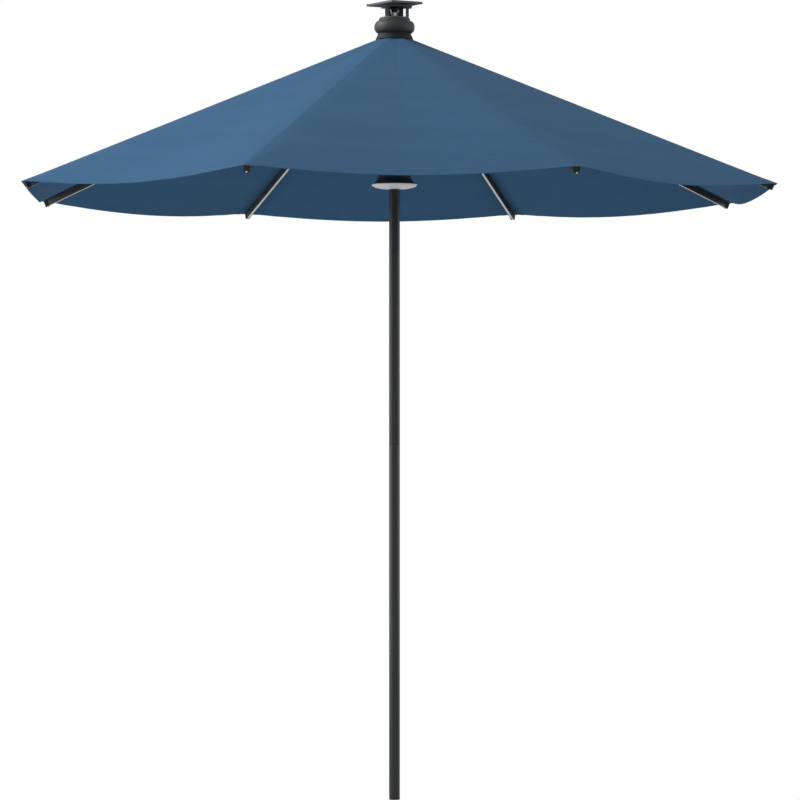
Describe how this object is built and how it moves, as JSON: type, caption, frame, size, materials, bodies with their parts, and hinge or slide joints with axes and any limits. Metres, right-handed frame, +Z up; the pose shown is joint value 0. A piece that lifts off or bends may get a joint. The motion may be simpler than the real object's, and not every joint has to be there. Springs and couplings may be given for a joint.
{
  "type": "patio umbrella",
  "caption": "Patio umbrella with a pyramid canopy of woven cloth, hinged ribs with light strips, a push-up runner with a lamp below it, and a solar panel head. No base.",
  "frame": {"origin": "centre of the flat end of the pole's foot", "axes": "+Z up along the pole, -Y towards the front panel of the canopy, +X to the right seen from the front"},
  "size_m": [2.5344, 2.5344, 2.809],
  "materials": {
    "canopy_cloth": "solution-dyed woven outdoor cloth, matt",
    "frame_paint": "dark powder coat on aluminium, satin",
    "pole_paint": "dark powder coat on steel, satin",
    "black_plastic": "moulded, fine spark-eroded grain",
    "grey_plastic": "moulded, satin",
    "diffuser": "opal, satin",
    "rubber": "moulded, matt",
    "steel": "bright zinc",
    "silicon": "glass over dark cells, smooth",
    "circuit_board": "white solder mask"
  },
  "bodies": {
    "mast": {"pole_lower": "pole_paint", "pole_upper": "pole_paint", "pole_foot_plug": "black_plastic", "top_hub": "frame_paint", "canopy_collar": "black_plastic", "finial_knob": "grey_plastic", "battery_pack": "black_plastic", "solar_bracket": "grey_plastic", "wing_nut": "steel", "solar_frame": "grey_plastic", "solar_cell": "silicon"},
    "rib_arm_1": {"rib_1": "frame_paint", "rib_tip_1": "black_plastic", "light_strip_1": "diffuser", "canopy_panel_1": "canopy_cloth"},
    "rib_arm_2": {"rib_2": "frame_paint", "rib_tip_2": "black_plastic", "light_strip_2": "diffuser", "canopy_panel_2": "canopy_cloth"},
    "rib_arm_3": {"rib_3": "frame_paint", "rib_tip_3": "black_plastic", "light_strip_3": "diffuser", "canopy_panel_3": "canopy_cloth"},
    "rib_arm_4": {"rib_4": "frame_paint", "rib_tip_4": "black_plastic", "light_strip_4": "diffuser", "canopy_panel_4": "canopy_cloth"},
    "rib_arm_5": {"rib_5": "frame_paint", "rib_tip_5": "black_plastic", "light_strip_5": "diffuser", "canopy_panel_5": "canopy_cloth"},
    "rib_arm_6": {"rib_6": "frame_paint", "rib_tip_6": "black_plastic", "light_strip_6": "diffuser", "canopy_panel_6": "canopy_cloth"},
    "rib_arm_7": {"rib_7": "frame_paint", "rib_tip_7": "black_plastic", "light_strip_7": "diffuser", "canopy_panel_7": "canopy_cloth"},
    "rib_arm_8": {"rib_8": "frame_paint", "rib_tip_8": "black_plastic", "light_strip_8": "diffuser", "canopy_panel_8": "canopy_cloth"},
    "brace_1": {"strut_1": "frame_paint"},
    "brace_2": {"strut_2": "frame_paint"},
    "brace_3": {"strut_3": "frame_paint"},
    "brace_4": {"strut_4": "frame_paint"},
    "brace_5": {"strut_5": "frame_paint"},
    "brace_6": {"strut_6": "frame_paint"},
    "brace_7": {"strut_7": "frame_paint"},
    "brace_8": {"strut_8": "frame_paint"},
    "runner": {"runner_hub": "frame_paint", "runner_body": "black_plastic", "lamp_housing": "black_plastic", "lamp_diffuser": "diffuser", "lamp_led_board": "circuit_board", "release_spring": "steel"},
    "release": {"release_button": "grey_plastic", "brake_pad": "rubber"},
    "lamp_switch": {"power_button": "rubber"}
  },
  "joints": [
    {"name": "canopy_fold", "type": "hinge", "parent": "mast", "child": "rib_arm_1", "pos_m": [-0.01378, -0.03326, 2.6707], "axis": [0.9239, -0.3827, 0], "range_deg": [0, 63.6], "deforming": ["canopy_panel_1"]},
    {"name": "rib_2_fold", "type": "hinge", "parent": "mast", "child": "rib_arm_2", "pos_m": [0.01378, -0.03326, 2.6707], "axis": [0.9239, 0.3827, 0], "range_deg": [0, 63.6], "deforming": ["canopy_panel_2"]},
    {"name": "rib_3_fold", "type": "hinge", "parent": "mast", "child": "rib_arm_3", "pos_m": [0.03326, -0.01378, 2.6707], "axis": [0.3827, 0.9239, 0], "range_deg": [0, 63.6], "deforming": ["canopy_panel_3"]},
    {"name": "rib_4_fold", "type": "hinge", "parent": "mast", "child": "rib_arm_4", "pos_m": [0.03326, 0.01378, 2.6707], "axis": [-0.3827, 0.9239, 0], "range_deg": [0, 63.6], "deforming": ["canopy_panel_4"]},
    {"name": "rib_5_fold", "type": "hinge", "parent": "mast", "child": "rib_arm_5", "pos_m": [0.01378, 0.03326, 2.6707], "axis": [-0.9239, 0.3827, 0], "range_deg": [0, 63.6], "deforming": ["canopy_panel_5"]},
    {"name": "rib_6_fold", "type": "hinge", "parent": "mast", "child": "rib_arm_6", "pos_m": [-0.01378, 0.03326, 2.6707], "axis": [-0.9239, -0.3827, 0], "range_deg": [0, 63.6], "deforming": ["canopy_panel_6"]},
    {"name": "rib_7_fold", "type": "hinge", "parent": "mast", "child": "rib_arm_7", "pos_m": [-0.03326, 0.01378, 2.6707], "axis": [-0.3827, -0.9239, 0], "range_deg": [0, 63.6], "deforming": ["canopy_panel_7"]},
    {"name": "rib_8_fold", "type": "hinge", "parent": "mast", "child": "rib_arm_8", "pos_m": [-0.03326, -0.01378, 2.6707], "axis": [0.3827, -0.9239, 0], "range_deg": [0, 63.6], "deforming": ["canopy_panel_8"]},
    {"name": "brace_1_fold", "type": "hinge", "parent": "rib_arm_1", "child": "brace_1", "pos_m": [-0.18805, -0.45399, 2.46344], "axis": [0.9239, -0.3827, 0], "range_deg": [-127.2, 0]},
    {"name": "brace_2_fold", "type": "hinge", "parent": "rib_arm_2", "child": "brace_2", "pos_m": [0.18805, -0.45399, 2.46344], "axis": [0.9239, 0.3827, 0], "range_deg": [-127.2, 0]},
    {"name": "brace_3_fold", "type": "hinge", "parent": "rib_arm_3", "child": "brace_3", "pos_m": [0.45399, -0.18805, 2.46344], "axis": [0.3827, 0.9239, 0], "range_deg": [-127.2, 0]},
    {"name": "brace_4_fold", "type": "hinge", "parent": "rib_arm_4", "child": "brace_4", "pos_m": [0.45399, 0.18805, 2.46344], "axis": [-0.3827, 0.9239, 0], "range_deg": [-127.2, 0]},
    {"name": "brace_5_fold", "type": "hinge", "parent": "rib_arm_5", "child": "brace_5", "pos_m": [0.18805, 0.45399, 2.46344], "axis": [-0.9239, 0.3827, 0], "range_deg": [-127.2, 0]},
    {"name": "brace_6_fold", "type": "hinge", "parent": "rib_arm_6", "child": "brace_6", "pos_m": [-0.18805, 0.45399, 2.46344], "axis": [-0.9239, -0.3827, 0], "range_deg": [-127.2, 0]},
    {"name": "brace_7_fold", "type": "hinge", "parent": "rib_arm_7", "child": "brace_7", "pos_m": [-0.45399, 0.18805, 2.46344], "axis": [-0.3827, -0.9239, 0], "range_deg": [-127.2, 0]},
    {"name": "brace_8_fold", "type": "hinge", "parent": "rib_arm_8", "child": "brace_8", "pos_m": [-0.45399, -0.18805, 2.46344], "axis": [0.3827, -0.9239, 0], "range_deg": [-127.2, 0]},
    {"name": "runner_level", "type": "hinge", "parent": "brace_1", "child": "runner", "pos_m": [-0.01378, -0.03326, 2.25617], "axis": [0.9239, -0.3827, 0], "range_deg": [0, 63.6]},
    {"name": "release_press", "type": "slide", "parent": "runner", "child": "release", "axis": [0, -1, 0], "range_m": [0, 0.005], "stiffness_N_per_m": 800, "springref_m": -0.003, "deforming": ["release_spring"]},
    {"name": "lamp_switch_press", "type": "slide", "parent": "runner", "child": "lamp_switch", "axis": [0, -1, 0], "range_m": [0, 0.0015], "stiffness_N_per_m": 1500, "springref_m": -0.001}
  ],
  "couplings": [
    {"joint": "rib_2_fold", "follows": "canopy_fold", "ratio": 1},
    {"joint": "rib_3_fold", "follows": "canopy_fold", "ratio": 1},
    {"joint": "rib_4_fold", "follows": "canopy_fold", "ratio": 1},
    {"joint": "rib_5_fold", "follows": "canopy_fold", "ratio": 1},
    {"joint": "rib_6_fold", "follows": "canopy_fold", "ratio": 1},
    {"joint": "rib_7_fold", "follows": "canopy_fold", "ratio": 1},
    {"joint": "rib_8_fold", "follows": "canopy_fold", "ratio": 1},
    {"joint": "brace_1_fold", "follows": "canopy_fold", "ratio": -2},
    {"joint": "brace_2_fold", "follows": "canopy_fold", "ratio": -2},
    {"joint": "brace_3_fold", "follows": "canopy_fold", "ratio": -2},
    {"joint": "brace_4_fold", "follows": "canopy_fold", "ratio": -2},
    {"joint": "brace_5_fold", "follows": "canopy_fold", "ratio": -2},
    {"joint": "brace_6_fold", "follows": "canopy_fold", "ratio": -2},
    {"joint": "brace_7_fold", "follows": "canopy_fold", "ratio": -2},
    {"joint": "brace_8_fold", "follows": "canopy_fold", "ratio": -2},
    {"joint": "runner_level", "follows": "canopy_fold", "ratio": 1}
  ]
}
